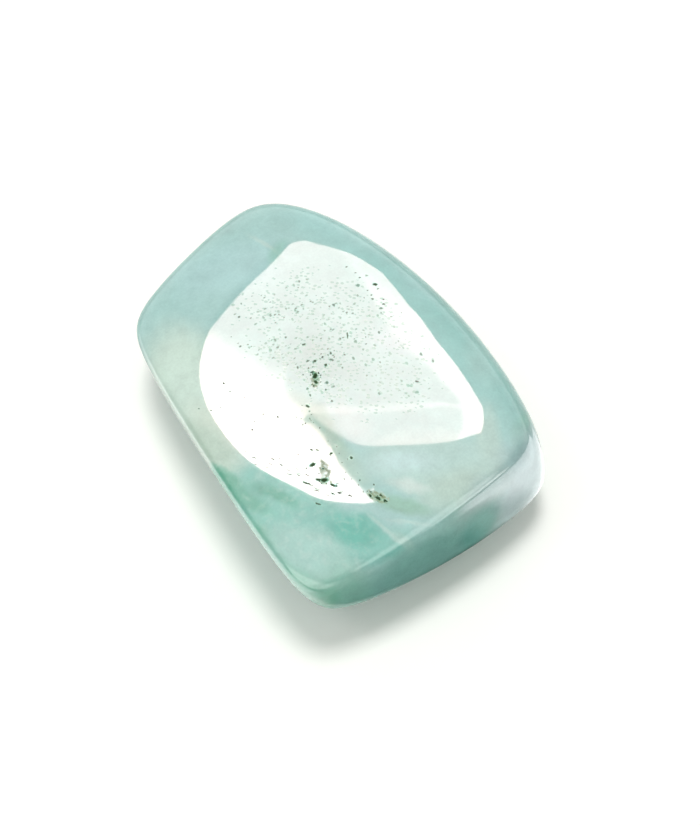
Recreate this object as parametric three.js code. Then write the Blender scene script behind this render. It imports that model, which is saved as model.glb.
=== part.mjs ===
// A tumbled stone: a rounded, polished pebble of blue-green feldspar, about 29 mm long.
// Lengths are in millimetres, angles in degrees. +X points to the wide end, +Z up, and the
// origin is the middle of the stone's footprint, on the surface that it rests on.
import * as THREE from "three";
import { mergeVertices } from "three/addons/utils/BufferGeometryUtils.js";

// The heart of the stone, the point inside it that every face is measured from.
const HEART = new THREE.Vector3(1.64, 1.64, 3.6);

// Worn faces. azimuth turns from +X towards +Y, lean is 90 for a face that looks straight up
// and 0 for an upright one, distance is from the heart, and crown is the radius of the face's dome.
const TOP_FACES = [
  { name: "top", azimuth: 0, lean: 94, distance: 6.6, crown: 220 },
  { name: "narrow end bevel", azimuth: 191, lean: 79, distance: 8, crown: 90 },
  { name: "back bevel", azimuth: 88, lean: 56, distance: 9.6, crown: 60 },
  { name: "front bevel", azimuth: 244, lean: 76, distance: 9.6, crown: 90 },
  { name: "wide end bevel", azimuth: -25, lean: 82, distance: 8.6, crown: 90 },
  { name: "near corner bevel", azimuth: 314, lean: 82, distance: 9.5, crown: 90 },
];
// Faces that roll over into the top with a soft shoulder.
const SHOULDER_FACES = [
  { name: "narrow end", azimuth: 189, lean: -16, distance: 15.8, crown: 100 },
  { name: "back side", azimuth: 83, lean: 3, distance: 9.9, crown: 45 },
  { name: "far corner", azimuth: 102, lean: -3, distance: 13.4, crown: 40 },
];
// Faces that meet the top at a crisper rim, and the underside.
const RIM_FACES = [
  { name: "left corner", azimuth: 221, lean: -13, distance: 17.6, crown: 25 },
  { name: "front side", azimuth: 258, lean: -13, distance: 10.3, crown: 300 },
  { name: "near corner", azimuth: 294, lean: -19, distance: 17.9, crown: 40 },
  { name: "wide end", azimuth: -5, lean: 10, distance: 13.2, crown: 60 },
  { name: "right corner", azimuth: 73, lean: 20, distance: 13.4, crown: 25 },
  { name: "under wide end", azimuth: -13, lean: -46, distance: 10.1, crown: 60 },
  { name: "under narrow end", azimuth: 186, lean: -58, distance: 10, crown: 60 },
  { name: "under back", azimuth: 99, lean: -45, distance: 8.2, crown: 60 },
  { name: "under front", azimuth: 258, lean: -45, distance: 8.4, crown: 60 },
  { name: "base", azimuth: 0, lean: -90, distance: 4, crown: 40 },
];

// How crisp the worn edges are: a higher number is a sharper edge.
const SHOULDER_CRISPNESS = 17;
const SIDE_CRISPNESS = 14;
const RIM_CRISPNESS = 22;

// Rough half sizes of the stone, which spread the triangles evenly over it, and the height
// by which the widest ring of them is lifted towards the rim.
const HALF_LENGTH = 14;
const HALF_WIDTH = 10.5;
const HALF_HEIGHT = 5;
const RING_LIFT = 1.5;
const MESH_DETAIL = 20;

// The look of the stone.
const STONE_COLOUR = 0xa6cfc5;
const POLISH_ROUGHNESS = 0.12;

// A worn face is part of a big sphere: the middle of that sphere and its radius.
function domeOf({ azimuth, lean, distance, crown }) {
  const turn = THREE.MathUtils.degToRad(azimuth);
  const rise = THREE.MathUtils.degToRad(lean);
  const outward = new THREE.Vector3(
    Math.cos(rise) * Math.cos(turn),
    Math.cos(rise) * Math.sin(turn),
    Math.sin(rise),
  );
  return { middle: outward.multiplyScalar(distance - crown), crown };
}

// How far a domed face lies from the heart along a unit direction.
function reach({ middle, crown }, direction) {
  const along = middle.dot(direction);
  return along + Math.sqrt(along * along - middle.lengthSq() + crown * crown);
}

// The nearest of several distances, rounded over where two are nearly alike.
function wornNearest(distances, crispness) {
  const nearest = Math.min(...distances);
  const sum = distances.reduce((total, each) => total + (nearest / each) ** crispness, 0);
  return nearest / sum ** (1 / crispness);
}

const topDomes = [...TOP_FACES, ...SHOULDER_FACES].map(domeOf);
const sideDomes = [...SHOULDER_FACES, ...RIM_FACES].map(domeOf);

// The distance from the heart to the worn surface, cut off level where the stone rests.
function stoneRadius(direction) {
  const top = wornNearest(topDomes.map((dome) => reach(dome, direction)), SHOULDER_CRISPNESS);
  const side = wornNearest(sideDomes.map((dome) => reach(dome, direction)), SIDE_CRISPNESS);
  const worn = wornNearest([top, side], RIM_CRISPNESS);
  const toFlat = direction.z < 0 ? HEART.z / -direction.z : Infinity;
  return Math.min(worn, toFlat);
}

// A closed mesh of the stone: a subdivided icosahedron, with each corner moved along its line
// from the heart to the surface.
function stoneGeometry() {
  const ball = new THREE.IcosahedronGeometry(1, MESH_DETAIL);
  ball.deleteAttribute("normal");
  ball.deleteAttribute("uv");
  const geometry = mergeVertices(ball);
  const position = geometry.getAttribute("position");
  const spread = new THREE.Vector3(HALF_LENGTH, HALF_WIDTH, HALF_HEIGHT);
  const point = new THREE.Vector3();
  for (let i = 0; i < position.count; i++) {
    point.fromBufferAttribute(position, i).multiply(spread);
    point.z += RING_LIFT * (1 - position.getZ(i) ** 2);
    const direction = point.normalize();
    const distance = stoneRadius(direction);
    point.multiplyScalar(distance).add(HEART);
    position.setXYZ(i, point.x, point.y, point.z);
  }
  geometry.computeVertexNormals();
  return geometry;
}

const stoneMaterial = new THREE.MeshStandardMaterial({
  color: STONE_COLOUR,
  roughness: POLISH_ROUGHNESS,
  metalness: 0,
});

const stone = new THREE.Mesh(stoneGeometry(), stoneMaterial);
stone.name = "tumbled_stone";

const tumbledStone = new THREE.Group();
tumbledStone.add(stone);

export default tumbledStone;
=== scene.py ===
import math

import bpy
import numpy as np
from mathutils import Matrix, Vector


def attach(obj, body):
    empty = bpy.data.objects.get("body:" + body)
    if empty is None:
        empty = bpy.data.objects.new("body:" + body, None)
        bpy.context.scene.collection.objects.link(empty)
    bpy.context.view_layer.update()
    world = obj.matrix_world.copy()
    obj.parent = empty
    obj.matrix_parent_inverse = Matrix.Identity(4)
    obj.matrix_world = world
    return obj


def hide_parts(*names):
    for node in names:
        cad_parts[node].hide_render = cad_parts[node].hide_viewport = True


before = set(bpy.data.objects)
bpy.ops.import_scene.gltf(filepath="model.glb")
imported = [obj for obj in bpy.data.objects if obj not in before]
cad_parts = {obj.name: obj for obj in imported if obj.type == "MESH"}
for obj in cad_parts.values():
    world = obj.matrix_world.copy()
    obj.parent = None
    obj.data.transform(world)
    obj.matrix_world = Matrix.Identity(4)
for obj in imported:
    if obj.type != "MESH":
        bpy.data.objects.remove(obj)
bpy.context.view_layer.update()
stoneNode = "tumbled_stone"
millimetre = 0.001


def linearOf(picture):
    # a colour given as 0 to 255 in a picture, as amounts of light
    parts = [c / 255 for c in picture]
    return [c / 12.92 if c < 0.04045 else ((c + 0.055) / 1.055) ** 2.4 for c in parts]


def addNode(tree, kind, inputs=None, **settings):
    # a node with its settings, and its inputs either linked or given as plain values
    made = tree.nodes.new(kind)
    for name, value in settings.items():
        setattr(made, name, value)
    for key, value in (inputs or {}).items():
        if isinstance(value, bpy.types.NodeSocket):
            tree.links.new(value, made.inputs[key])
        else:
            made.inputs[key].default_value = value
    return made


def newGroup(name, kind, inputs, outputs):
    # a node group with its named sockets, and the nodes that lead in and out of it
    tree = bpy.data.node_groups.new(name, kind)
    for title, socketKind in inputs:
        tree.interface.new_socket(name=title, in_out="INPUT", socket_type="NodeSocket" + socketKind)
    for title, socketKind in outputs:
        tree.interface.new_socket(name=title, in_out="OUTPUT", socket_type="NodeSocket" + socketKind)
    return tree, tree.nodes.new("NodeGroupInput"), tree.nodes.new("NodeGroupOutput")


def mathNode(tree, operation, first, second=0.0):
    return addNode(tree, "ShaderNodeMath", {0: first, 1: second}, operation=operation).outputs[0]


def vectorNode(tree, operation, first, second=(0, 0, 0)):
    # gives a number for the operations that measure, and a vector for the rest
    made = addNode(tree, "ShaderNodeVectorMath", {0: first, 1: second}, operation=operation)
    return made.outputs["Value" if operation in ("DOT_PRODUCT", "LENGTH", "DISTANCE") else "Vector"]


def scaledVector(tree, vector, scale):
    made = addNode(tree, "ShaderNodeVectorMath", {0: vector, "Scale": scale}, operation="SCALE")
    return made.outputs[0]


def stepped(tree, value, start, full):
    # rises smoothly from 0 at the start to 1 where it is full
    return addNode(tree, "ShaderNodeMapRange", {
        "Value": value, "From Min": start, "From Max": full,
    }, interpolation_type="SMOOTHSTEP").outputs[0]


def between(tree, share, low, high):
    # goes from low to high as the share goes from 0 to 1
    return addNode(tree, "ShaderNodeMapRange", {"Value": share, "To Min": low, "To Max": high}).outputs[0]


def greatest(tree, masks):
    # masks come one at a time: the renderer can't hold many results that wait to be used
    most = None
    for mask in masks:
        most = mathNode(tree, "MAXIMUM", most, mask) if most else mask
    return most


def newMaterial(name):
    made = bpy.data.materials.new(name)
    made.use_nodes = True
    made.node_tree.nodes.clear()
    return made, made.node_tree


def pointOnPiece(tree):
    # in the millimetres that its dictionary uses
    place = addNode(tree, "ShaderNodeTexCoord")
    return scaledVector(tree, place.outputs["Object"], 1 / millimetre)


def newObject(name, mesh):
    made = bpy.data.objects.new(name, mesh)
    bpy.context.scene.collection.objects.link(made)
    return made


def towards(azimuth, elevation):
    # the direction with that angle from +X towards +Y, and that rise
    turn, rise = math.radians(azimuth), math.radians(elevation)
    return Vector((math.cos(rise) * math.cos(turn), math.cos(rise) * math.sin(turn), math.sin(rise)))


# The camera looks down at the stone, over its near corner.
cameraSetup = {
    "azimuth": -43,
    "elevation": 60,
    "distance": 158,
    "lens": 100,
    "target": (1.30, 1.61, 3.6),
    "clip": (10, 10000),
}


def makeCamera(setup):
    data = bpy.data.cameras.new("photoCamera")
    data.lens = setup["lens"]
    data.clip_start, data.clip_end = [reach * millimetre for reach in setup["clip"]]
    camera = newObject("photoCamera", data)
    back = towards(setup["azimuth"], setup["elevation"])
    camera.location = (Vector(setup["target"]) + back * setup["distance"]) * millimetre
    camera.rotation_mode = "QUATERNION"
    camera.rotation_quaternion = (-back).to_track_quat("-Z", "Y")
    bpy.context.scene.camera = camera


makeCamera(cameraSetup)
print("camera placed")

# The stone's worn faces: azimuth, lean, distance from the heart, and radius of the face's dome.
stoneShape = {
    "heart": (1.64, 1.64, 3.6),
    "topFaces": [
        (0, 94, 6.6, 220),  # top
        (191, 79, 8, 90),  # narrow end bevel
        (88, 56, 9.6, 60),  # back bevel
        (244, 76, 9.6, 90),  # front bevel
        (-25, 82, 8.6, 90),  # wide end bevel
        (314, 82, 9.5, 90),  # near corner bevel
    ],
    "shoulderFaces": [
        (189, -16, 15.8, 100),  # narrow end
        (83, 3, 9.9, 45),  # back side
        (102, -3, 13.4, 40),  # far corner
    ],
    "rimFaces": [
        (221, -13, 17.6, 25),  # left corner
        (258, -13, 10.3, 300),  # front side
        (294, -19, 17.9, 40),  # near corner
        (-5, 10, 13.2, 60),  # wide end
        (73, 20, 13.4, 25),  # right corner
        (-13, -46, 10.1, 60),  # under wide end
        (186, -58, 10, 60),  # under narrow end
        (99, -45, 8.2, 60),  # under back
        (258, -45, 8.4, 60),  # under front
        (0, -90, 4, 40),  # base
    ],
    "shoulderCrispness": 17,
    "sideCrispness": 14,
    "rimCrispness": 22,
    "spread": (14, 10.5, 5),
    "ringLift": 1.5,
    "steps": 470,  # points in a ring
    "closerAt": -45,  # azimuth where they stand closest
    "closeness": 0.45,
    "rows": (118, 52, 32),  # rings on the top, round the rim and underneath
    "rimLifts": (26, -8),  # where the rim's rings begin and end
    "profiles": 12,  # taken round the stone to space the rings
    "profileSteps": 2001,  # points in each of them
}


def domesOf(faces):
    # middle and radius of the big sphere that each worn face is part of
    azimuth, lean, distance, crown = np.array(faces, float).T
    turn, rise = np.radians(azimuth), np.radians(lean)
    level = np.cos(rise)
    outward = np.stack([level * np.cos(turn), level * np.sin(turn), np.sin(rise)], 1)
    return outward * (distance - crown)[:, None], crown


def nearness(directions, faces):
    # one over the distance from the heart to each face, along each direction
    middle, crown = domesOf(faces)
    along = directions @ middle.T
    return 1 / (along + np.sqrt(along**2 - (middle**2).sum(1) + crown**2))


def wornBlend(parts, crispness):
    # the nearest face wins, rounded over where two are nearly alike
    most = parts.max(1)
    return most * ((parts / most[:, None]) ** crispness).sum(1) ** (1 / crispness)


def stoneRadius(directions, shape):
    shoulders = shape["shoulderFaces"]
    top = wornBlend(nearness(directions, shape["topFaces"] + shoulders), shape["shoulderCrispness"])
    side = wornBlend(nearness(directions, shoulders + shape["rimFaces"]), shape["sideCrispness"])
    worn = 1 / wornBlend(np.stack([top, side], 1), shape["rimCrispness"])
    down = np.maximum(-directions[:, 2], 1e-9)  # the flat spot cuts only the directions that go down
    return np.minimum(worn, shape["heart"][2] / down)


def stonePoints(lift, turn, shape):
    # lift and turn are the angles of a point on a ball, and the ball is stretched to the stone
    ball = np.stack([np.cos(lift) * np.cos(turn), np.cos(lift) * np.sin(turn), np.sin(lift)], -1)
    directions = ball * np.array(shape["spread"])
    directions[:, 2] += shape["ringLift"] * (1 - ball[:, 2] ** 2)
    directions /= np.linalg.norm(directions, axis=1, keepdims=True)
    return directions * stoneRadius(directions, shape)[:, None] + np.array(shape["heart"])


def rowLifts(shape):
    # rings a steady distance apart down the stone's profile, closest round the rim
    lift = np.linspace(math.pi / 2, -math.pi / 2, shape["profileSteps"])
    profiles = shape["profiles"]
    length = np.zeros(len(lift))
    for turn in np.linspace(0, 2 * math.pi, profiles, endpoint=False):
        points = stonePoints(lift, np.full(len(lift), turn), shape)
        length[1:] += np.cumsum(np.linalg.norm(np.diff(points, axis=0), axis=1)) / profiles
    rim = np.interp(-np.radians(shape["rimLifts"]), -lift, length)
    stops = [0, *rim, length[-1]]
    places = [np.linspace(a, b, n + 1)[1:] for a, b, n in zip(stops, stops[1:], shape["rows"])]
    return np.interp(np.concatenate(places)[:-1], length, lift)


def makeStoneMesh(shape):
    lifts = rowLifts(shape)
    steps = shape["steps"]
    even = np.linspace(0, 2 * math.pi, steps, endpoint=False)
    turns = even - shape["closeness"] * np.sin(even - math.radians(shape["closerAt"]))
    ringLift, ringTurn = np.meshgrid(lifts, turns, indexing="ij")
    rings = stonePoints(ringLift.ravel(), ringTurn.ravel(), shape)
    poles = stonePoints(np.array([math.pi / 2, -math.pi / 2]), np.zeros(2), shape)
    points = np.concatenate([rings, poles]) * millimetre
    here = np.arange(steps)
    after = (here + 1) % steps
    faces = []
    for row in range(len(lifts) - 1):
        upper, lower = row * steps, (row + 1) * steps
        faces += np.stack([upper + here, lower + here, lower + after, upper + after], 1).tolist()
    top, bottom = len(rings), len(rings) + 1
    last = (len(lifts) - 1) * steps
    faces += [[top, a, b] for a, b in zip(here.tolist(), after.tolist())]
    faces += [[bottom, last + b, last + a] for a, b in zip(here.tolist(), after.tolist())]
    mesh = bpy.data.meshes.new("polishedStone")
    mesh.from_pydata(points.tolist(), [], faces)
    mesh.update()
    return mesh


# Small pits that the tumbling left open, in clusters: middle, reach along and across, turn,
# pits to a square millimetre, and the least and most radius of a pit.
stonePits = {
    "clusters": [
        ((0.6, -0.9, 10.1), (0.95, 0.30, 1), -43, 8, 0.08, 0.18),
        ((5.23, -5.42, 10.2), (0.10, 0.08, 1), 0, 60, 0.12, 0.16),
        ((6.9, -5.6, 10.2), (0.75, 0.15, 1), 25, 9, 0.08, 0.16),
        ((9.8, -3.9, 10.1), (0.55, 0.2, 1), 25, 11, 0.08, 0.18),
    ],
    "depth": 0.2,  # of a pit, as a share of its radius
    "bowlFloor": 0.1,  # where its floor begins, as a share of its radius
    "seed": 4,
}


def makePitCluster():
    inputs = [("Stone", "Geometry"), ("Middle", "Vector"), ("Reach", "Vector"), ("Turn", "Float")]
    inputs += [("Density", "Float"), ("Least", "Float"), ("Most", "Float"), ("Seed", "Int")]
    tree, given, result = newGroup("pitCluster", "GeometryNodeTree", inputs, [("Pits", "Geometry")])
    place = addNode(tree, "GeometryNodeInputPosition")
    turned = addNode(tree, "ShaderNodeVectorRotate", {
        "Vector": place.outputs[0],
        "Center": given.outputs["Middle"],
        "Angle": mathNode(tree, "MULTIPLY", given.outputs["Turn"], -1.0),
    }, rotation_type="Z_AXIS")
    moved = vectorNode(tree, "SUBTRACT", turned.outputs[0], given.outputs["Middle"])
    distance = vectorNode(tree, "LENGTH", vectorNode(tree, "DIVIDE", moved, given.outputs["Reach"]))
    inside = mathNode(tree, "LESS_THAN", distance, 1.0)
    points = addNode(tree, "GeometryNodeDistributePointsOnFaces", {
        "Mesh": given.outputs["Stone"],
        "Density": mathNode(tree, "MULTIPLY", inside, given.outputs["Density"]),
        "Seed": given.outputs["Seed"],
    }, distribute_method="RANDOM")
    radius = addNode(tree, "FunctionNodeRandomValue", {  # 2, 3 and 1 are its sockets for plain numbers
        2: given.outputs["Least"], 3: given.outputs["Most"], "Seed": given.outputs["Seed"],
    }, data_type="FLOAT")
    kept = addNode(tree, "GeometryNodeStoreNamedAttribute", {
        "Geometry": points.outputs["Points"], "Name": "pitRadius", "Value": radius.outputs[1],
    }, data_type="FLOAT", domain="POINT")
    tree.links.new(kept.outputs[0], result.inputs[0])
    return tree


def makePitTree(pits):
    inputs = [("Stone", "Geometry"), ("Depth", "Float"), ("Seed", "Int"), ("Finish", "Material")]
    tree, given, result = newGroup("wornPits", "GeometryNodeTree", inputs, [("Stone", "Geometry")])
    cluster = makePitCluster()
    joined = addNode(tree, "GeometryNodeJoinGeometry")
    for number, (middle, reach, turn, density, least, most) in enumerate(pits["clusters"]):
        made = addNode(tree, "GeometryNodeGroup", {
            "Stone": given.outputs["Stone"],
            "Middle": Vector(middle) * millimetre,
            "Reach": Vector(reach) * millimetre,
            "Turn": math.radians(turn),
            "Density": density / millimetre**2,
            "Least": least * millimetre,
            "Most": most * millimetre,
            "Seed": mathNode(tree, "ADD", given.outputs["Seed"], float(number)),
        }, node_tree=cluster)
        tree.links.new(made.outputs["Pits"], joined.inputs[0])
    place = addNode(tree, "GeometryNodeInputPosition")
    normal = addNode(tree, "GeometryNodeInputNormal")
    radius = addNode(tree, "GeometryNodeInputNamedAttribute", {"Name": "pitRadius"}, data_type="FLOAT")
    nearest = addNode(tree, "GeometryNodeSampleNearest", {"Geometry": joined.outputs[0]}, domain="POINT")
    middleOf = addNode(tree, "GeometryNodeSampleIndex", {
        "Geometry": joined.outputs[0], "Value": place.outputs[0], "Index": nearest.outputs[0],
    }, data_type="FLOAT_VECTOR", domain="POINT")
    radiusOf = addNode(tree, "GeometryNodeSampleIndex", {
        "Geometry": joined.outputs[0], "Value": radius.outputs[0], "Index": nearest.outputs[0],
    }, data_type="FLOAT", domain="POINT")
    away = vectorNode(tree, "DISTANCE", place.outputs[0], middleOf.outputs[0])
    share = mathNode(tree, "DIVIDE", away, radiusOf.outputs[0])
    bowl = stepped(tree, share, 1.0, pits["bowlFloor"])
    inward = mathNode(tree, "MULTIPLY", bowl, given.outputs["Depth"])
    depth = mathNode(tree, "MULTIPLY", inward, radiusOf.outputs[0])
    offset = scaledVector(tree, normal.outputs[0], mathNode(tree, "MULTIPLY", depth, -1.0))
    marked = addNode(tree, "GeometryNodeStoreNamedAttribute", {
        "Geometry": given.outputs["Stone"], "Name": "pit", "Value": bowl,
    }, data_type="FLOAT", domain="POINT")
    dented = addNode(tree, "GeometryNodeSetPosition", {"Geometry": marked.outputs[0], "Offset": offset})
    smooth = addNode(tree, "GeometryNodeSetShadeSmooth", {"Geometry": dented.outputs[0]})
    real = addNode(tree, "GeometryNodeRealizeInstances", {"Geometry": smooth.outputs[0]})
    done = addNode(tree, "GeometryNodeSetMaterial", {
        "Geometry": real.outputs[0], "Material": given.outputs["Finish"],
    })
    tree.links.new(done.outputs[0], result.inputs[0])
    return tree


def openPits(stone, pits, finish):
    # runs the tree once and keeps its result as a plain mesh
    tree = makePitTree(pits)
    values = {"Depth": pits["depth"], "Seed": pits["seed"], "Finish": finish}
    modifier = stone.modifiers.new("wornPits", "NODES")
    modifier.node_group = tree
    for socket in tree.interface.items_tree:
        if socket.in_out == "INPUT" and socket.name in values:
            modifier[socket.identifier] = values[socket.name]
    graph = bpy.context.evaluated_depsgraph_get()
    pitted = stone.evaluated_get(graph)
    mesh = bpy.data.meshes.new_from_object(pitted, preserve_all_data_layers=True, depsgraph=graph)
    stone.modifiers.remove(modifier)
    stone.data = mesh


# The stone's colours. Places are millimetres on the stone and colours are picture values, which
# pigment() turns into the stone's own. Each patch covers those above it: middle, reach along,
# across and through, turn, softness of its edge, how fully it covers, and colour.
stoneColours = {
    "exposure": 1.11,  # how much brighter than its pigment a lit face shows
    "veil": 0.17,  # the room's reflection over it
    "darkest": 0.002,  # least amount of light that a pigment gives back
    "body": (178, 212, 208),
    "patches": [
        ((1.3, 9.9, 8.5), (12.5, 4.4, 8), -8, 0.5, 1.0, (167, 208, 203)),  # back margin
        ((-6.1, 9.6, 9), (1.8, 0.8, 3), 20, 0.8, 0.7, (190, 216, 212)),  # pale drifts in it
        ((-0.7, 9.2, 9.6), (1.8, 0.8, 3), -5, 0.8, 0.7, (176, 213, 210)),
        ((7.2, 8.0, 10), (1.5, 0.7, 3), -20, 0.8, 0.7, (181, 213, 208)),
        ((-7.7, 10.0, 8.2), (6.0, 2.2, 6), 15, 0.6, 0.8, (176, 215, 212)),  # far corner
        ((-10.8, 1.5, 8.6), (2.2, 3.6, 5), -30, 0.6, 0.8, (186, 219, 218)),  # narrow end
        ((-0.4, 0.5, 10), (2.3, 1.6, 3), 10, 0.9, 0.7, (160, 192, 187)),  # dark cloud in the middle
        ((-3.9, -7.7, 9.3), (7.0, 3.2, 6), -23, 0.3, 1.0, (207, 227, 216)),  # cream at the left
        ((-1.5, -8.1, 9.5), (2.2, 0.9, 4), -5, 0.6, 0.4, (217, 222, 208)),  # beige in it
        ((-0.6, -9.0, 9.4), (2.8, 0.9, 3), 0, 0.5, 0.8, (192, 211, 198)),
        ((4.5, -1.4, 10.3), (1.6, 0.9, 2), 0, 0.7, 0.8, (192, 215, 212)),  # pale drifts in the middle
        ((2.3, 5.3, 10.3), (2.0, 1.0, 2), 35, 0.7, 0.8, (191, 213, 214)),
        ((4.6, -3.4, 10.3), (3.9, 0.9, 2), -8, 0.5, 0.85, (177, 202, 187)),  # the worn seam
        ((3.0, -2.7, 10.2), (0.9, 0.5, 2), -30, 0.6, 0.6, (158, 196, 182)),
        ((6.2, -11.0, 9.2), (8.0, 2.1, 6), 3, 0.12, 1.0, (152, 199, 182)),  # green at the front
        ((6.4, -8.3, 9.8), (4.2, 2.2, 5), 12, 0.22, 1.0, (160, 207, 197)),
        ((2.9, -9.9, 9.4), (2.8, 0.6, 3), 6, 0.4, 0.7, (135, 188, 168)),
        ((5.2, -8.4, 9.9), (1.8, 0.4, 3), 17, 0.6, 0.8, (136, 188, 170)),  # dark streak in it
        ((10.0, -9.2, 9.2), (3.4, 1.7, 4), 24, 0.35, 1.0, (178, 214, 206)),  # pale near corner
        ((8.2, -7.6, 9.8), (1.6, 0.7, 3), 30, 0.5, 0.6, (156, 205, 196)),
        ((12.3, -5.9, 9.4), (2.2, 1.1, 1.6), 62, 0.4, 0.9, (150, 203, 193)),
        ((10.45, -6.4, 9.7), (1.7, 1.1, 3), 36, 0.5, 1.0, (130, 195, 182)),  # turquoise
        ((10.2, 0.3, 10.3), (4.8, 1.9, 4), 47, 0.4, 0.9, (195, 221, 215)),  # pale wide end
        ((12.9, 0.3, 9.9), (2.6, 1.3, 3), 62, 0.7, 0.8, (194, 214, 203)),
        ((11.6, 4.4, 10.3), (2.3, 0.9, 4), -36, 0.6, 0.8, (195, 217, 209)),
        ((9.2, -0.9, 10.3), (1.9, 0.7, 3), 50, 0.7, 0.9, (206, 231, 229)),  # white clouds
        ((10.6, -1.8, 10.2), (1.2, 0.4, 3), 38, 0.7, 0.9, (214, 230, 224)),
        ((11.1, -3.1, 10.0), (1.9, 0.5, 3), 35, 0.5, 0.9, (164, 201, 185)),  # grey-green
        ((11.7, -4.9, 9.6), (1.5, 0.14, 2), 10, 0.9, 0.7, (192, 220, 213)),  # white veins
        ((12.9, -4.4, 9.3), (0.9, 0.3, 2), 22, 0.9, 0.7, (192, 217, 210)),
        ((12.4, -3.4, 9.6), (1.3, 0.12, 2), 40, 0.9, 0.6, (196, 222, 216)),
        ((-10.4, 4.5, 8.6), (1.3, 0.16, 2), 3, 0.9, 0.6, (197, 220, 213)),  # pale streak
        ((-9.3, 4.6, 8.9), (1.0, 0.4, 2), -67, 0.8, 0.4, (158, 205, 184)),
        ((12.7, 6.6, 9.4), (2.4, 0.5, 3), -62, 0.7, 0.6, (160, 200, 186)),  # green right rim
        ((14.4, -3.0, 4.4), (2.2, 8.5, 4.9), 0, 0.3, 0.95, (160, 199, 192)),  # green wide end, darkened further as painted shade on that side
        ((14.4, 6.0, 6.4), (2.2, 3.6, 5), 0, 0.4, 0.85, (180, 200, 203)),  # greyer end of it
        ((14.2, 1.9, 8.8), (1.6, 2.2, 0.9), 0, 0.5, 0.8, (184, 206, 205)),
        ((14.5, 1.0, 6.2), (2.0, 1.4, 1.6), 0, 0.5, 0.8, (144, 190, 182)),
        ((12.9, -9.4, 6), (2.0, 1.8, 5), 0, 0.6, 0.5, (152, 199, 181)),  # greener end of it
    ],
    "wander": [(3.5, 0.7), (0.8, 0.2)],  # noise that the patches' edges follow: its size and reach
    "mottle": (0.9, 0.08, 6.0),  # noise in the shade: its size, its reach and its detail
    "cloud": (2.6, 0.06, 4.0),
    "grain": (0.16, 0.05, 2.0),
    "fleck": (236, 248, 243),  # pale wisps in the green
    "fleckField": ((6.5, -7.9, 9.8), (6.5, 3.0, 5), 8),
    "fleckSoftness": 0.3,
    "fleckNoise": (0.6, 0.5, 6.0),
    "fleckSpan": (-0.1, 0.6),  # of the noise, from none to full
    "fleckCover": 0.18,
}

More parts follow.
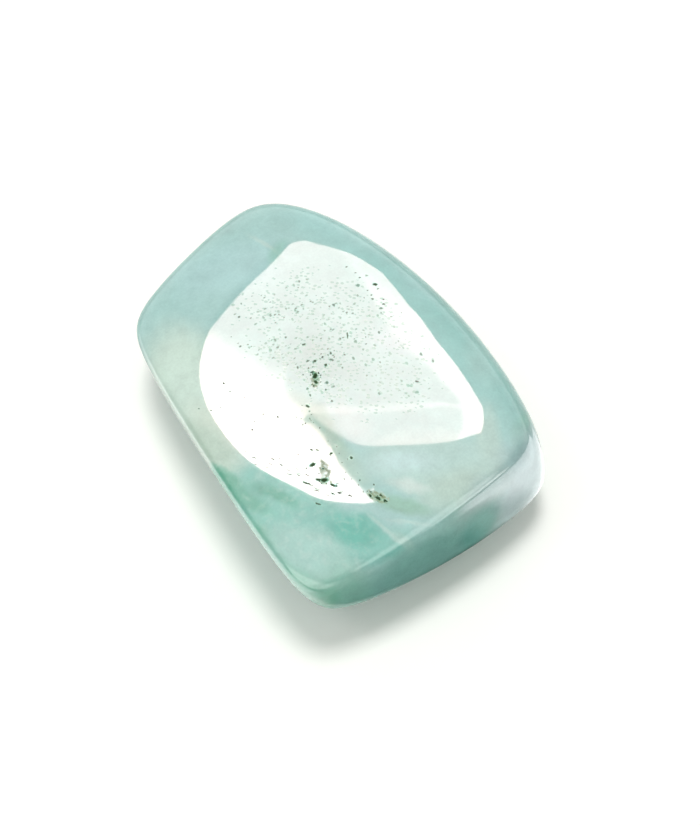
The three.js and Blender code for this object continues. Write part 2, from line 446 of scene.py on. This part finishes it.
# What breaks the polish. Dots come in layers, each with its fields, the size of the cells that hold
# one dot each, the share that do, the dots' radius, their stretch and turn, how strong they are, and
# how patchy the layer is. Spans say where a mask begins and where it is full.
stoneMarks = {
    "layers": [
        {
            "fields": [((-0.9, 2.1, 10), (7.5, 4.6, 4), 7)],
            "cell": 0.26, "share": 0.85, "radius": (0.05, 0.13),
            "amount": 0.36, "stretch": 1.4, "turn": 35, "patchy": 0.55,
        },
        {
            "fields": [((-3.4, 1.0, 10), (4.7, 3.3, 4), 28)],
            "cell": 0.42, "share": 0.85, "radius": (0.04, 0.11),
            "amount": 0.9, "stretch": 1.4, "turn": 80, "patchy": 0.6,
        },
        {
            "fields": [((-0.8, 2.2, 10), (7.1, 4.5, 4), 7)],
            "cell": 0.60, "share": 0.8, "radius": (0.04, 0.13),
            "amount": 0.9, "stretch": 1.5, "turn": -20, "patchy": 0.7,
        },
        {
            "fields": [((-2.6, 6.8, 10), (3.2, 0.6, 4), -12), ((6.0, 3.5, 10), (1.2, 0.6, 3), 30)],
            "cell": 0.50, "share": 0.7, "radius": (0.06, 0.15),
            "amount": 1.0, "stretch": 1.4, "turn": 50, "patchy": 0.4,
        },
        {
            "fields": [((0.2, -0.1, 10), (2.1, 1.3, 3), -30)],
            "cell": 0.33, "share": 0.65, "radius": (0.03, 0.09),
            "amount": 1.0, "stretch": 1.4, "turn": 120, "patchy": 0.6,
        },
        {
            "fields": [((0.8, -5.6, 10), (5.5, 2.4, 4), 10)],
            "cell": 0.8, "share": 0.5, "radius": (0.05, 0.10),
            "amount": 1.0, "stretch": 1.2, "turn": 10, "patchy": 0.5,
        },
        {
            "fields": [((5.4, -6.5, 10.1), (4.0, 0.55, 3), 23)],
            "cell": 0.30, "share": 1.0, "radius": (0.03, 0.07),
            "amount": 1.0, "stretch": 5.0, "turn": 23, "patchy": 0.3,
        },
        {
            "fields": [((5.6, -3.9, 10.2), (3.8, 0.55, 2), -7)],
            "cell": 0.32, "share": 0.6, "radius": (0.03, 0.08),
            "amount": 1.0, "stretch": 1.5, "turn": -40, "patchy": 0.5,
        },
        {
            "fields": [
                ((9.8, -3.9, 10.1), (0.85, 0.35, 2), 25),
                ((0.5, -0.8, 10.1), (0.8, 0.4, 2), -43),
                ((2.3, -3.3, 10.1), (0.9, 0.35, 2), -50),
            ],
            "cell": 0.24, "share": 0.7, "radius": (0.04, 0.09),
            "amount": 1.0, "stretch": 1.4, "turn": -43, "patchy": 0.2,
        },
    ],
    "bold": [  # middle, half length, half width and turn
        ((5.25, -5.4), 0.22, 0.14, 70),
        ((6.6, -5.6), 0.24, 0.14, 45),
        ((6.3, -5.85), 0.18, 0.08, 40),
        ((6, -6.55), 0.30, 0.07, 22),
        ((7.25, -5.45), 0.20, 0.07, 25),
        ((7.7, -5.85), 0.14, 0.05, 25),
        ((8.55, -5.15), 0.14, 0.06, 25),
        ((4.4, -4.7), 0.10, 0.06, 0),
        ((4.7, -4.45), 0.13, 0.05, 30),
        ((5.5, -4), 0.12, 0.07, 80),
        ((6.65, -3.25), 0.12, 0.09, 0),
        ((9.45, -4.2), 0.11, 0.08, 0),
        ((9.9, -3.95), 0.21, 0.09, 20),
        ((10.35, -3.7), 0.15, 0.06, 20),
        ((1.8, -2.65), 0.15, 0.09, 0),
        ((7.55, -7), 0.18, 0.06, 30),
        ((0.4, -0.7), 0.24, 0.15, -43),
        ((0.8, -1), 0.18, 0.09, -20),
        ((-0.5, 0.1), 0.10, 0.09, 0),
        ((0.25, 0.4), 0.13, 0.11, 0),
        ((-2, 0.5), 0.12, 0.08, 60),
        ((-0.5, 3.05), 0.24, 0.06, -35),
        ((-2.3, 7.3), 0.16, 0.12, 30),
        ((-3.55, -5.3), 0.10, 0.07, 0),
        ((1, -4.6), 0.08, 0.06, 0),
        ((3.1, -6.95), 0.15, 0.03, 11),
        ((3.8, -6.85), 0.18, 0.03, 12),
        ((4.45, -6.75), 0.12, 0.03, 14),
        ((5.15, -6.55), 0.16, 0.04, 16),
        ((5.55, -6.15), 0.14, 0.03, 20),
        ((6.8, -6.45), 0.16, 0.04, 24),
        ((7.95, -5.45), 0.12, 0.04, 28),
        ((9.05, -3.5), 0.06, 0.05, 0),
    ],
    "stains": [  # middle, reach and turn
        ((0.6, -0.9, 10.1), (0.8, 0.35, 2), -43),
        ((6.1, -5.1, 10.2), (0.95, 0.40, 2), -25),
        ((6.7, -5.6, 10.2), (0.6, 0.25, 2), 30),
        ((9.8, -3.9, 10.1), (0.95, 0.42, 2), 25),
    ],
    "level": 10,  # height of the bold marks on the stone
    "through": 2,  # how far down they reach
    "ragged": (0.16, 0.09),  # noise that all the edges follow: its size and reach
    "boldSoftness": 0.35,
    "fieldSoftness": 0.2,
    "stainSoftness": 0.4,
    "crowding": (1.8, 0.5, 3.0),  # noise that gathers the dots: its size, reach and detail
    "crowdSpan": (-0.25, 0.25),
    "weakest": 0.7,  # strength of the weakest dot, as a share of its layer's
    "core": 0.5,  # how much of a dot's radius is full
    "faintSpan": (0.0, 0.3),
    "boldSpan": (0.3, 1.0),
    "dullSpan": (0.45, 1.0),
    "stainNoise": (0.22, 0.5, 4.0),
    "stainSpan": (0.5, 1.2),
    "pitNoise": (0.12, 0.35, 3.0),
    "pitSpan": (0.25, 0.6),
    "pitInside": (0.02, 0.1),  # of the bowl, so that the noise leaves its edge alone
    "faintSpeck": (40, 128, 100),  # colours, and how fully they cover
    "faintCover": 0.6,
    # the specks' and pits' dark colours are partly dust and partly painted shade in their hollows
    "speck": (20, 34, 28),
    "stain": (132, 140, 84),
    "stainCover": 0.8,
    "pit": (18, 32, 16),
    "pitCover": 0.95,
}

# The polish, a little duller along the seam, and what lies under it.
stoneGloss = {
    "roughness": 0.04,
    "dotRoughness": 0.6,
    "seamRoughness": 0.045,
    "seamField": ((6.0, -3.8, 10.2), (5.2, 0.9, 3), -13),
    "seamSoftness": 0.5,
    "seamGrain": (0.55, 0.0002, 2.0),  # height as noise: its size, its reach and its detail
    "waves": (4.0, 0.0006, 1.0),
    "ior": 1.53,
    "subsurface": 0.3,
    "subsurfaceRadius": (1.0, 1.0, 1.0),
    "subsurfaceScale": 1.4,
}


def pigment(picture):
    # the stone's own colour: the picture's light less the veil, at the picture's exposure
    veil, darkest, exposure = [stoneColours[name] for name in ("veil", "darkest", "exposure")]
    return [max(light - veil, darkest) / exposure for light in linearOf(picture)] + [1]


def paint(picture):
    # a colour that the veil doesn't reach
    return linearOf(picture) + [1]


def makeEllipseMask():
    # one inside an ellipsoid and nothing outside it, with a soft edge
    inputs = [("Point", "Vector"), ("Middle", "Vector"), ("Reach", "Vector"), ("Turn", "Vector")]
    inputs += [("Softness", "Float"), ("Amount", "Float")]
    tree, given, result = newGroup("ellipseMask", "ShaderNodeTree", inputs, [("Mask", "Float")])
    local = addNode(tree, "ShaderNodeMapping", {
        "Vector": given.outputs["Point"], "Location": given.outputs["Middle"],
        "Rotation": given.outputs["Turn"], "Scale": given.outputs["Reach"],
    }, vector_type="TEXTURE")
    outer = mathNode(tree, "ADD", 1.0, given.outputs["Softness"])
    inner = mathNode(tree, "SUBTRACT", 1.0, given.outputs["Softness"])
    mask = addNode(tree, "ShaderNodeMapRange", {
        "Value": vectorNode(tree, "LENGTH", local.outputs[0]), "From Min": outer, "From Max": inner,
        "To Max": given.outputs["Amount"],
    }, interpolation_type="SMOOTHSTEP")
    tree.links.new(mask.outputs[0], result.inputs[0])
    return tree


def ellipseMask(tree, group, point, middle, reach, turn, softness, amount=1.0):
    made = addNode(tree, "ShaderNodeGroup", {
        "Point": point,
        "Middle": middle,
        "Reach": reach,
        "Turn": (0, 0, math.radians(turn)),
        "Softness": softness,
        "Amount": amount,
    }, node_tree=group)
    return made.outputs[0]


def mixColour(tree, share, under, over, blend="MIX"):
    # 0, 6, 7 and 2 are the mix's sockets for colours
    mixed = addNode(tree, "ShaderNodeMix", data_type="RGBA", blend_type=blend)
    for key, value in ((0, share), (6, under), (7, over)):
        if isinstance(value, bpy.types.NodeSocket):
            tree.links.new(value, mixed.inputs[key])
        else:
            mixed.inputs[key].default_value = value
    return mixed.outputs[2]


def warpedPoint(tree, point, size, reach, detail=3.0):
    # the point pushed about by noise, so that edges wander as they do in a mineral
    noise = addNode(tree, "ShaderNodeTexNoise", {"Vector": point, "Scale": 1 / size, "Detail": detail})
    centred = vectorNode(tree, "SUBTRACT", noise.outputs["Color"], (0.5, 0.5, 0.5))
    return vectorNode(tree, "ADD", point, scaledVector(tree, centred, reach * 2))


def noiseAround(tree, point, size, reach, detail):
    # noise from about minus reach to plus reach
    noise = addNode(tree, "ShaderNodeTexNoise", {"Vector": point, "Scale": 1 / size, "Detail": detail})
    return mathNode(tree, "MULTIPLY", mathNode(tree, "SUBTRACT", noise.outputs[0], 0.5), reach * 4)


def dotMask(tree, point, field, layer, marks):
    # scattered dots: one in some of the cells of a grid, fewer of them towards the field's edge
    cell = layer["cell"]
    local = addNode(tree, "ShaderNodeMapping", {
        "Vector": point,
        "Rotation": (0, 0, math.radians(layer["turn"])),
        "Scale": (layer["stretch"], 1, 1),
    }, vector_type="TEXTURE")
    cells = addNode(tree, "ShaderNodeTexVoronoi", {"Vector": local.outputs[0], "Scale": 1 / cell},
                    feature="F1", voronoi_dimensions="2D")
    draw = addNode(tree, "ShaderNodeSeparateColor", {"Color": cells.outputs["Color"]})
    crowd = stepped(tree, noiseAround(tree, point, *marks["crowding"]), *marks["crowdSpan"])
    crowd = between(tree, crowd, 1 - layer["patchy"], 1.0)
    share = mathNode(tree, "MULTIPLY", mathNode(tree, "MULTIPLY", field, layer["share"]), crowd)
    present = mathNode(tree, "LESS_THAN", draw.outputs[0], share)
    least, most = layer["radius"]
    radius = between(tree, draw.outputs[1], least / cell, most / cell)
    amount = layer["amount"]
    strength = between(tree, draw.outputs[2], amount * marks["weakest"], amount)
    dot = addNode(tree, "ShaderNodeMapRange", {
        "Value": cells.outputs["Distance"], "From Min": radius,
        "From Max": mathNode(tree, "MULTIPLY", radius, marks["core"]), "To Max": strength,
    }, interpolation_type="SMOOTHSTEP")
    return mathNode(tree, "MULTIPLY", dot.outputs[0], present)


def bodyColour(tree, group, point, wandering, colours):
    # patches over one another, then noise in their shade
    colour = pigment(colours["body"])
    for middle, reach, turn, softness, amount, picture in colours["patches"]:
        mask = ellipseMask(tree, group, wandering, middle, reach, turn, softness, amount)
        colour = mixColour(tree, mask, colour, pigment(picture))
    shade = mathNode(tree, "ADD", noiseAround(tree, wandering, *colours["mottle"]), 1.0)
    shade = mathNode(tree, "ADD", noiseAround(tree, wandering, *colours["cloud"]), shade)
    shade = mathNode(tree, "ADD", noiseAround(tree, point, *colours["grain"]), shade)
    return mixColour(tree, 1.0, colour, shade, "MULTIPLY")


def markMasks(tree, group, point, marks):
    # the bold marks, the dots with them, the stains, and the pits that the mesh has
    ragged = warpedPoint(tree, point, *marks["ragged"])
    level, through = marks["level"], marks["through"]
    bold = greatest(tree, (
        ellipseMask(tree, group, ragged, (*middle, level), (*reach, through), turn, marks["boldSoftness"])
        for middle, *reach, turn in marks["bold"]
    ))
    dots = bold
    for layer in marks["layers"]:
        field = greatest(tree, (
            ellipseMask(tree, group, ragged, *place, marks["fieldSoftness"]) for place in layer["fields"]
        ))
        dots = mathNode(tree, "MAXIMUM", dots, dotMask(tree, ragged, field, layer, marks))
    stains = greatest(tree, (
        ellipseMask(tree, group, ragged, *place, marks["stainSoftness"]) for place in marks["stains"]
    ))
    grain = mathNode(tree, "ADD", stains, noiseAround(tree, point, *marks["stainNoise"]))
    stain = mathNode(tree, "MULTIPLY", stepped(tree, grain, *marks["stainSpan"]), stains)
    bowl = addNode(tree, "ShaderNodeAttribute", attribute_name="pit").outputs["Fac"]
    grain = mathNode(tree, "ADD", bowl, noiseAround(tree, point, *marks["pitNoise"]))
    inside = stepped(tree, bowl, *marks["pitInside"])
    pit = mathNode(tree, "MULTIPLY", stepped(tree, grain, *marks["pitSpan"]), inside)
    return bold, dots, stain, pit


def makeStoneMaterial(colours, marks, gloss):
    material, tree = newMaterial("polishedFeldspar")
    group = makeEllipseMask()
    point = pointOnPiece(tree)
    wandering = point
    for size, reach in colours["wander"]:
        wandering = warpedPoint(tree, wandering, size, reach)
    colour = bodyColour(tree, group, point, wandering, colours)
    bold, dots, stain, pit = markMasks(tree, group, point, marks)

    wisps = stepped(tree, noiseAround(tree, wandering, *colours["fleckNoise"]), *colours["fleckSpan"])
    field = ellipseMask(tree, group, point, *colours["fleckField"], colours["fleckSoftness"])
    flecks = mathNode(tree, "MULTIPLY", mathNode(tree, "MULTIPLY", wisps, field), colours["fleckCover"])
    colour = mixColour(tree, flecks, colour, pigment(colours["fleck"]))
    stained = mathNode(tree, "MULTIPLY", stain, marks["stainCover"])
    colour = mixColour(tree, stained, colour, pigment(marks["stain"]))
    # dots, bold marks and pits take dark colours: partly dust, partly painted shade in their hollows
    faint = mathNode(tree, "MULTIPLY", stepped(tree, dots, *marks["faintSpan"]), marks["faintCover"])
    colour = mixColour(tree, faint, colour, paint(marks["faintSpeck"]))
    colour = mixColour(tree, stepped(tree, dots, *marks["boldSpan"]), colour, paint(marks["speck"]))
    deep = mathNode(tree, "MAXIMUM", pit, bold)
    dark = mathNode(tree, "MULTIPLY", deep, marks["pitCover"])
    colour = mixColour(tree, dark, colour, paint(marks["pit"]))

    # metal over a very dark colour keeps the polish from shining on a mark
    dull = mathNode(tree, "MAXIMUM", stepped(tree, dots, *marks["dullSpan"]), deep)
    unpolished = greatest(tree, [dots, pit, stain])
    seam = ellipseMask(tree, group, wandering, *gloss["seamField"], gloss["seamSoftness"])
    polished = between(tree, seam, gloss["roughness"], gloss["seamRoughness"])
    roughness = between(tree, unpolished, polished, gloss["dotRoughness"])
    waves = noiseAround(tree, point, *gloss["waves"])
    grain = mathNode(tree, "MULTIPLY", noiseAround(tree, point, *gloss["seamGrain"]), seam)
    height = mathNode(tree, "ADD", waves, grain)
    bump = addNode(tree, "ShaderNodeBump", {"Height": height, "Distance": millimetre})
    shader = addNode(tree, "ShaderNodeBsdfPrincipled", {
        "Base Color": colour,
        "Roughness": roughness,
        "Metallic": dull,
        "IOR": gloss["ior"],
        "Subsurface Weight": gloss["subsurface"],
        "Subsurface Radius": gloss["subsurfaceRadius"],
        "Subsurface Scale": gloss["subsurfaceScale"] * millimetre,
        "Normal": bump.outputs[0],
    })
    addNode(tree, "ShaderNodeOutputMaterial", {"Surface": shader.outputs[0]})
    return material


stone = newObject("polishedStone", makeStoneMesh(stoneShape))
print("stone shaped:", len(stone.data.vertices), "points")
openPits(stone, stonePits, makeStoneMaterial(stoneColours, stoneMarks, stoneGloss))
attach(stone, "root")
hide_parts(stoneNode)
print("stone finished:", len(stone.data.vertices), "points")

# The studio: a pale floor in a white room with two soft lamps. A glowing card stands beyond the stone,
# its outline in millimetres as the stone sees it, with a brighter margin before its right side and a
# dark frame behind its left. A dark sheet before the wide end is painted shade: the floor's shadow as
# the polish reflects it. Glowing sheets beside it and in front are a painted reflection of the lit floor.
# The card and the sheets only show as reflections in the polish, and so do the walls and windows, which
# the room has for glossy rays alone.
studio = {
    "floorRadius": 3000,
    "floorDrop": 0.02,
    "floorSides": 64,
    "floorColour": (248, 247, 243),
    "floorRoughness": 0.9,
    "floorSheen": 0.1,
    "roomColour": (254, 254, 251),
    "roomStrength": 0.65,
    "roomGloss": 3.9,  # how bright glossy rays find the room, and its darker walls
    "wallGloss": 1.2,
    "walls": [  # azimuth, where it begins and is full to each side and from above, and cover
        (0, (180, 179), (56, 22), 0.55),
        (-45, (122, 100), (56, 22), 1.0),
        (-62, (52, 36), (68, 48), 1.0),
    ],
    "windows": [  # azimuth, elevation, where it begins and is full, and glow
        (-66, 20, (36, 24), 6.8),
        (-38, 8, (26, 12), 4.6),
        (6, 26, (18, 10), 5.4),
        (15, 2, (13, 6), 6.5),
    ],
    "lamps": [(157, 85, 16, 1.5), (237, 60, 16, 0.22)],  # azimuth, elevation, spread and strength
    "cardDirection": (145.3, 54.7),
    "cardDistance": 2000,
    "cardRight": [  # the card's right side, in straight lines
        (375, 720), (360, 560), (350, 440), (385, 400), (380, 265), (450, 210), (545, 80), (640, -90),
        (625, -300), (610, -430),
    ],
    "cardRest": [  # the rest of its outline, each stretch a smooth line from the end of the last
        [(430, -450), (330, -420), (170, -330), (60, -270), (-25, -160), (-90, -75)],  # below
        [(-115, -95)],  # the notch's head
        [(-70, -135), (-30, -240), (15, -390), (80, -560), (145, -725), (225, -880),
         (285, -955)],  # down to the lobe's foot
        [(165, -880), (-15, -730), (-170, -500), (-305, -345), (-440, -190), (-530, -40), (-560, 110),
         (-565, 240), (-540, 395)],  # round the lobe
        [(-485, 435), (-410, 505), (-320, 585), (-250, 710)],  # the straight upper left
        [(-160, 728), (-60, 688), (60, 692), (210, 730), (375, 720)],  # the top
    ],
    "cardSteps": 6,  # lines between two points of a smooth stretch
    "cardColour": (1.27, 1.0, 0.97),
    "cardBright": 24,
    "cardDim": (9.2, 9.9),  # at its left and its right
    "dimSpan": (-200, 200),  # where those are
    "dimEdge": (-90, -23),  # a point on the line above which the card is dim
    "dimRise": (0.63, 0.777),  # the way up from that line
    "dimFade": (-135, 64),  # how far up that way the dimness begins and is full
    "sideFrom": (-90, -80),  # the same for the notch's line, beyond which the card is dim too
    "sideRise": (0.845, 0.535),
    "sideFade": (-60, 12),
    "sideStart": (-190, -150),  # where the side's dimness begins and is full, from the left
    "barFrom": (0, -76.6),  # a faint brighter bar across the card's right part
    "barRise": (0.206, 0.979),
    "barReach": 12,
    "barShare": 0.2,  # of the dimness that it takes away
    "margin": [  # a brighter strip along the card's right side: where it begins and where it is full
        [(20, 690), (40, 560), (50, 440), (60, 400), (65, 260), (95, 150), (190, 50), (340, -100),
         (395, -300), (405, -450)],
        [(90, 700), (105, 560), (110, 440), (112, 400), (115, 260), (145, 165), (240, 65), (385, -80),
         (440, -300), (450, -450)],
    ],
    "marginCover": [0.2, 0.3, 0.5, 0.7, 0.9, 1, 1, 1, 1, 1],  # from its top to its foot
    "marginDepth": -1,  # behind the card, so it stands before it
    "marginGlow": 13.6,
    "frame": [  # its inner side, which the card's left edge hides, and its outer side
        [(-255, 715), (-325, 590), (-415, 510), (-490, 440), (-545, 400), (-567, 250)],
        [(-340, 880), (-415, 710), (-490, 605), (-565, 505), (-640, 390), (-690, 250)],
    ],
    "frameCover": 0.5,
    "frameDepth": 2,
    "sheetShade": 0.02,  # the margin's, the frame's and the papers' own colour
    # painted shade: a dark sheet where the polish reflects the floor's shadow
    "reflectedShadeSheet": [  # distance out, height, cover, and from where to where it reaches across
        (12.6, 0.1, 0, -8.5, 1.9),
        (14.4, 0.1, 0.95, -9.5, 1.9),
        (19, 0.1, 0.9, -11.0, 1.1),
        (23, 0.1, 0.75, -11.0, -0.9),
        (30, 0.1, 0.5, -11.0, -2.0),
        (38, 0.1, 0.4, -11.0, -4.0),
        (60, 0.1, 0, -14.0, -6.0),
    ],
    "paperFade": 4.0,  # how far the cover takes to fade out past the sides
    # painted reflection: a glowing sheet that shows the lit floor brighter in the polish
    "reflectedLitFloorSheet": [
        (12, 0.14, 0.35, 9.5, 20),
        (18, 0.14, 0.5, 9.5, 24),
        (24, 0.14, 1, 8.0, 45),
        (28, 0.14, 1, 6.0, 60),
        (60, 0.14, 1, 12, 90),
        (90, 0.14, 0, 20, 120),
    ],
    "whiteGlow": 4.6,
    # painted reflection too: the lit floor in front, brighter in the polish
    "reflectedLitFrontSheet": [
        (-60, 0.18, 1, -130, -22),
        (12, 0.18, 1, -130, -23),
        (20, 0.18, 1, -130, -28),
        (26, 0.18, 0.6, -130, -30),
        (36, 0.18, 0, -130, -30),
    ],
    "frontFade": 14.0,
}


def paperMaterial(name, colour, roughness, sheen):
    made = bpy.data.materials.new(name)
    made.use_nodes = True
    shader = made.node_tree.nodes["Principled BSDF"]
    shader.inputs["Base Color"].default_value = colour
    shader.inputs["Roughness"].default_value = roughness
    shader.inputs["Specular IOR Level"].default_value = sheen
    return made, shader


def makeFloor(setup):
    mesh = bpy.data.meshes.new("studioFloor")
    radius = setup["floorRadius"] * millimetre
    level = -setup["floorDrop"] * millimetre
    turns = np.linspace(0, 2 * math.pi, setup["floorSides"], endpoint=False)
    points = [(radius * math.cos(t), radius * math.sin(t), level) for t in turns]
    mesh.from_pydata(points, [], [list(range(len(points)))])
    floor = newObject("studioFloor", mesh)
    material, shader = paperMaterial("palePaper", paint(setup["floorColour"]), setup["floorRoughness"],
                                     setup["floorSheen"])
    mesh.materials.append(material)


def lookingAt(tree, direction, azimuth, elevation, width):
    # one for directions near the one given, and nothing beyond the width
    outer, inner = [math.cos(math.radians(w)) for w in width]
    along = vectorNode(tree, "DOT_PRODUCT", direction, towards(azimuth, elevation))
    return stepped(tree, along, outer, inner)


def makeRoom(setup):
    world = bpy.data.worlds.new("whiteRoom")
    world.use_nodes = True
    tree = world.node_tree
    background = tree.nodes["Background"]
    background.inputs["Color"].default_value = paint(setup["roomColour"])
    direction = addNode(tree, "ShaderNodeTexCoord").outputs["Generated"]
    rise = addNode(tree, "ShaderNodeSeparateXYZ", {"Vector": direction}).outputs["Z"]
    walls = []
    for azimuth, width, height, cover in setup["walls"]:
        top, full = [math.sin(math.radians(e)) for e in height]
        side = lookingAt(tree, direction, azimuth, 0, width)
        wall = mathNode(tree, "MULTIPLY", stepped(tree, rise, top, full), side)
        walls.append(mathNode(tree, "MULTIPLY", wall, cover))
    gloss = between(tree, greatest(tree, walls), setup["roomGloss"], setup["wallGloss"])
    for azimuth, elevation, width, glow in setup["windows"]:
        window = lookingAt(tree, direction, azimuth, elevation, width)
        gloss = between(tree, window, gloss, glow)
    ray = addNode(tree, "ShaderNodeLightPath")
    strength = between(tree, ray.outputs["Is Glossy Ray"], setup["roomStrength"], gloss)
    tree.links.new(strength, background.inputs["Strength"])
    bpy.context.scene.world = world


def makeLamp(azimuth, elevation, spread, strength):
    data = bpy.data.lights.new("softLamp", "SUN")
    data.energy = strength
    data.angle = math.radians(spread)
    lamp = newObject("softLamp", data)
    lamp.rotation_mode = "QUATERNION"
    lamp.rotation_quaternion = towards(azimuth, elevation).to_track_quat("Z", "Y")
    lamp.visible_glossy = False


def onlyInReflections(card):
    card.visible_camera = False
    card.visible_diffuse = False
    card.visible_shadow = False
    card.visible_transmission = False


def cardPlace(setup):
    # the card's own frame: its sides, and its middle on a line from the stone
    middle = towards(*setup["cardDirection"])
    right = towards(cameraSetup["azimuth"] + 90, 0)
    across = (right - middle * right.dot(middle)).normalized()
    turned = Matrix((across, middle.cross(across), middle)).transposed().to_4x4()
    return Matrix.Translation(middle * setup["cardDistance"] * millimetre) @ turned


def smoothLine(points, steps):
    # the points after the first of a smooth line through all of those given
    spots = np.array([points[0], *points, points[-1]], float)
    line = []
    for before, first, last, after in zip(spots, spots[1:], spots[2:], spots[3:]):
        for step in range(1, steps + 1):
            share = step / steps
            curve = 2 * before - 5 * first + 4 * last - after
            bend = 3 * (first - last) + after - before
            spot = first + ((last - before) * share + curve * share**2 + bend * share**3) / 2
            line.append(tuple(spot.tolist()))
    return line


def pastLine(tree, point, start, rise):
    # how far the point lies past the line through the start, in the direction of the rise
    moved = vectorNode(tree, "SUBTRACT", point, (*start, 0))
    return vectorNode(tree, "DOT_PRODUCT", moved, (*rise, 0))


def makeCardGlow(setup):
    material, tree = newMaterial("glowingCard")
    point = pointOnPiece(tree)
    side = addNode(tree, "ShaderNodeSeparateXYZ", {"Vector": point}).outputs["X"]
    above = pastLine(tree, point, setup["dimEdge"], setup["dimRise"])
    beyond = pastLine(tree, point, setup["sideFrom"], setup["sideRise"])
    right = mathNode(tree, "MULTIPLY", stepped(tree, beyond, *setup["sideFade"]),
                     stepped(tree, side, *setup["sideStart"]))
    dim = mathNode(tree, "MAXIMUM", stepped(tree, above, *setup["dimFade"]), right)
    offBar = mathNode(tree, "ABSOLUTE", pastLine(tree, point, setup["barFrom"], setup["barRise"]))
    bar = mathNode(tree, "MULTIPLY", mathNode(tree, "LESS_THAN", offBar, setup["barReach"]), right)
    dim = mathNode(tree, "SUBTRACT", dim, mathNode(tree, "MULTIPLY", bar, setup["barShare"]))
    left, far = setup["dimSpan"]
    least, most = setup["cardDim"]
    dimmed = addNode(tree, "ShaderNodeMapRange", {
        "Value": side, "From Min": left, "From Max": far, "To Min": least, "To Max": most,
    })
    glow = addNode(tree, "ShaderNodeEmission", {
        "Color": (*setup["cardColour"], 1),
        "Strength": between(tree, dim, setup["cardBright"], dimmed.outputs[0]),
    })
    addNode(tree, "ShaderNodeOutputMaterial", {"Surface": glow.outputs[0]})
    return material


def makeCard(setup):
    corners = [*setup["cardRight"]]
    for stretch in setup["cardRest"]:
        corners += smoothLine([corners[-1], *stretch], setup["cardSteps"])
    outline = [(a * millimetre, u * millimetre, 0) for a, u in corners[:-1]]
    mesh = bpy.data.meshes.new("glowingCard")
    mesh.from_pydata(outline, [], [list(range(len(outline)))])
    mesh.materials.append(makeCardGlow(setup))
    card = newObject("glowingCard", mesh)
    card.matrix_world = cardPlace(setup)
    onlyInReflections(card)


def makeSheet(name, rows, glow, tint=(1, 1, 1), place=Matrix.Identity(4)):
    # a sheet through rows of points, each with how much of what lies behind it there hides
    mesh = bpy.data.meshes.new(name)
    across = len(rows[0])
    points = [Vector(spot[:3]) * millimetre for row in rows for spot in row]
    faces = []
    for r in range(len(rows) - 1):
        for c in range(across - 1):
            first = r * across + c
            faces.append([first, first + 1, first + across + 1, first + across])
    mesh.from_pydata(points, [], faces)
    cover = mesh.attributes.new("cover", "FLOAT", "POINT")
    cover.data.foreach_set("value", [spot[3] for row in rows for spot in row])
    sheet = newObject(name, mesh)
    sheet.matrix_world = place
    shade = studio["sheetShade"]
    material, shader = paperMaterial(name, (shade, shade, shade, 1), 1.0, 0.0)
    shader.inputs["Emission Color"].default_value = (*tint, 1)
    shader.inputs["Emission Strength"].default_value = glow
    hides = addNode(material.node_tree, "ShaderNodeAttribute", attribute_name="cover")
    soft = stepped(material.node_tree, hides.outputs["Fac"], 0.0, 1.0)
    material.node_tree.links.new(soft, shader.inputs["Alpha"])
    mesh.materials.append(material)
    onlyInReflections(sheet)


def paperRows(paper, fade):
    # each row from its low side to its high side, with its cover fading out past both
    rows = []
    for out, height, cover, low, high in paper:
        middle = (low + high) / 2
        sides = [(low - fade, 0), (low, cover), (middle, cover), (high, cover), (high + fade, 0)]
        rows.append([(out, y, height, share) for y, share in sides])
    return rows


def marginRows(setup):
    # from where the margin begins to the card's right side, with its cover at each point
    depth, covers = setup["marginDepth"], setup["marginCover"]
    begins, full = setup["margin"]
    rows = [[(*spot, depth, 0) for spot in begins]]
    for row in (full, setup["cardRight"]):
        rows.append([(*spot, depth, cover) for spot, cover in zip(row, covers)])
    return rows


def frameRows(setup):
    # its cover fades out towards its outer side
    inner, outer = setup["frame"]
    depth, cover = setup["frameDepth"], setup["frameCover"]
    return [[(*spot, depth, cover) for spot in inner], [(*spot, depth, 0) for spot in outer]]


makeFloor(studio)
makeRoom(studio)
for lamp in studio["lamps"]:
    makeLamp(*lamp)
makeCard(studio)
makeSheet("cardMargin", marginRows(studio), studio["marginGlow"], studio["cardColour"], cardPlace(studio))
makeSheet("darkFrame", frameRows(studio), 0.0, place=cardPlace(studio))
makeSheet("reflectedShadeSheet", paperRows(studio["reflectedShadeSheet"], studio["paperFade"]), 0.0)
makeSheet("reflectedLitFloorSheet", paperRows(studio["reflectedLitFloorSheet"], studio["paperFade"]), studio["whiteGlow"])
makeSheet("reflectedLitFrontSheet", paperRows(studio["reflectedLitFrontSheet"], studio["frontFade"]), studio["whiteGlow"])
bpy.context.scene.view_settings.view_transform = "Standard"
print("studio lit")
